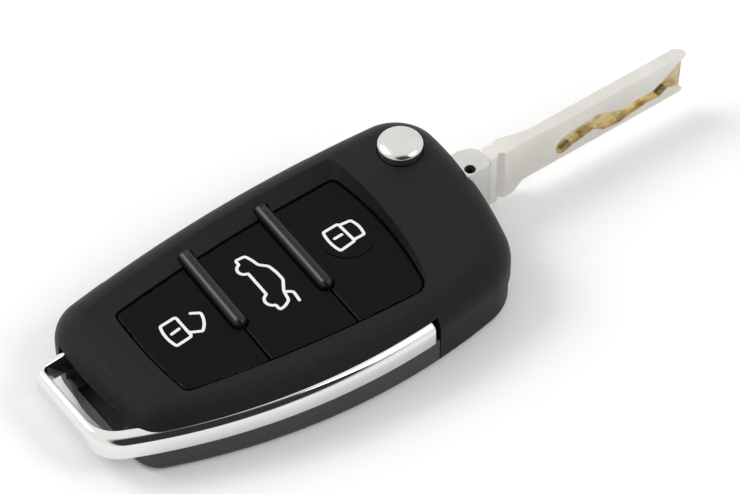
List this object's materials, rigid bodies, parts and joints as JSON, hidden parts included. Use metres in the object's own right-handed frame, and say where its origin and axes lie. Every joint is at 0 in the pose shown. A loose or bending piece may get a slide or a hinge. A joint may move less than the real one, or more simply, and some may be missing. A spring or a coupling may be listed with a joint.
{
  "type": "folding car transponder key",
  "caption": "Folding car key: a rounded housing with a sunken button panel and a chromed key-ring bow, and a blade that swings out on a sprung pivot.",
  "frame": {"origin": "middle of the housing's flat back face, which the key rests on", "axes": "+X along the key towards the opened blade's tip, +Y towards the side that the blade folds into, +Z out of the button face"},
  "size_m": [0.121, 0.0401, 0.0169],
  "materials": {
    "black_shell": "fine spark-eroded texture, low sheen",
    "black_satin": "smooth satin",
    "black_gloss": "glossy",
    "chrome": "polished plating",
    "nickel": "satin nickel plating",
    "cast_zinc": "satin nickel plating on a zinc casting",
    "spring_steel": "bright drawn wire and strip",
    "silicone": "matt silicone",
    "board_green": "solder mask",
    "component_black": "moulded package",
    "component_metal": "pressed can",
    "ceramic": "sintered ceramic with tinned ends",
    "white_plastic": "switch stem",
    "inner_plastic": "moulded, plain",
    "cell_steel": "brushed nickel-plated can",
    "screw_steel": "black zinc plating"
  },
  "bodies": {
    "housing": {"upper_shell": "black_shell", "lower_shell": "black_shell", "key_ring_bow": "chrome", "keypad_frame": "black_gloss", "rubber_seal": "silicone", "circuit_board": "board_green", "unlock_switch": "component_metal", "boot_switch": "component_metal", "lock_switch": "component_metal", "rf_chip": "component_black", "quartz_crystal": "component_metal", "transponder_coil": "component_black", "capacitors": "ceramic", "coin_cell": "cell_steel", "battery_tray": "inner_plastic", "battery_contact_positive": "spring_steel", "battery_contact_negative": "spring_steel", "transponder_capsule": "component_black", "case_screws": "screw_steel"},
    "battery_door": {"battery_cover": "black_shell"},
    "unlock_key": {"unlock_button": "black_satin"},
    "boot_key": {"boot_button": "black_satin"},
    "lock_key": {"lock_button": "black_satin"},
    "unlock_stem": {"unlock_plunger": "white_plastic"},
    "boot_stem": {"boot_plunger": "white_plastic"},
    "lock_stem": {"lock_plunger": "white_plastic"},
    "blade_unit": {"blade_carrier": "cast_zinc", "key_blade": "nickel", "roll_pin": "spring_steel", "flip_spring": "spring_steel"},
    "release": {"release_button": "nickel"}
  },
  "joints": [
    {"name": "blade_flip", "type": "hinge", "parent": "housing", "child": "blade_unit", "pos_m": [0.0274, 0.00955, 0], "axis": [-0.0183, 0, 0.9998], "range_deg": [0, 184], "stiffness_Nm_per_rad": 0.006, "springref_deg": -85.94},
    {"name": "release_press", "type": "slide", "parent": "blade_unit", "child": "release", "axis": [0.0183, 0, -0.9998], "range_m": [0, 0.0015], "stiffness_N_per_m": 2000, "springref_m": -0.001, "deforming": ["flip_spring"]},
    {"name": "unlock_press", "type": "slide", "parent": "housing", "child": "unlock_key", "axis": [0, 0, -1], "range_m": [0, 0.0003], "stiffness_N_per_m": 800, "springref_m": -0.0005},
    {"name": "unlock_plunger_slide", "type": "slide", "parent": "housing", "child": "unlock_stem", "axis": [0, 0, -1], "range_m": [0, 0.0003]},
    {"name": "boot_press", "type": "slide", "parent": "housing", "child": "boot_key", "axis": [0, 0, -1], "range_m": [0, 0.0003], "stiffness_N_per_m": 800, "springref_m": -0.0005},
    {"name": "boot_plunger_slide", "type": "slide", "parent": "housing", "child": "boot_stem", "axis": [0, 0, -1], "range_m": [0, 0.0003]},
    {"name": "lock_press", "type": "slide", "parent": "housing", "child": "lock_key", "axis": [0, 0, -1], "range_m": [0, 0.0003], "stiffness_N_per_m": 800, "springref_m": -0.0005},
    {"name": "lock_plunger_slide", "type": "slide", "parent": "housing", "child": "lock_stem", "axis": [0, 0, -1], "range_m": [0, 0.0003]},
    {"name": "battery_cover_off", "type": "slide", "parent": "housing", "child": "battery_door", "axis": [0, 0, -1], "range_m": [0, 0.008]}
  ],
  "couplings": [
    {"joint": "unlock_plunger_slide", "follows": "unlock_press", "ratio": 1},
    {"joint": "boot_plunger_slide", "follows": "boot_press", "ratio": 1},
    {"joint": "lock_plunger_slide", "follows": "lock_press", "ratio": 1}
  ]
}
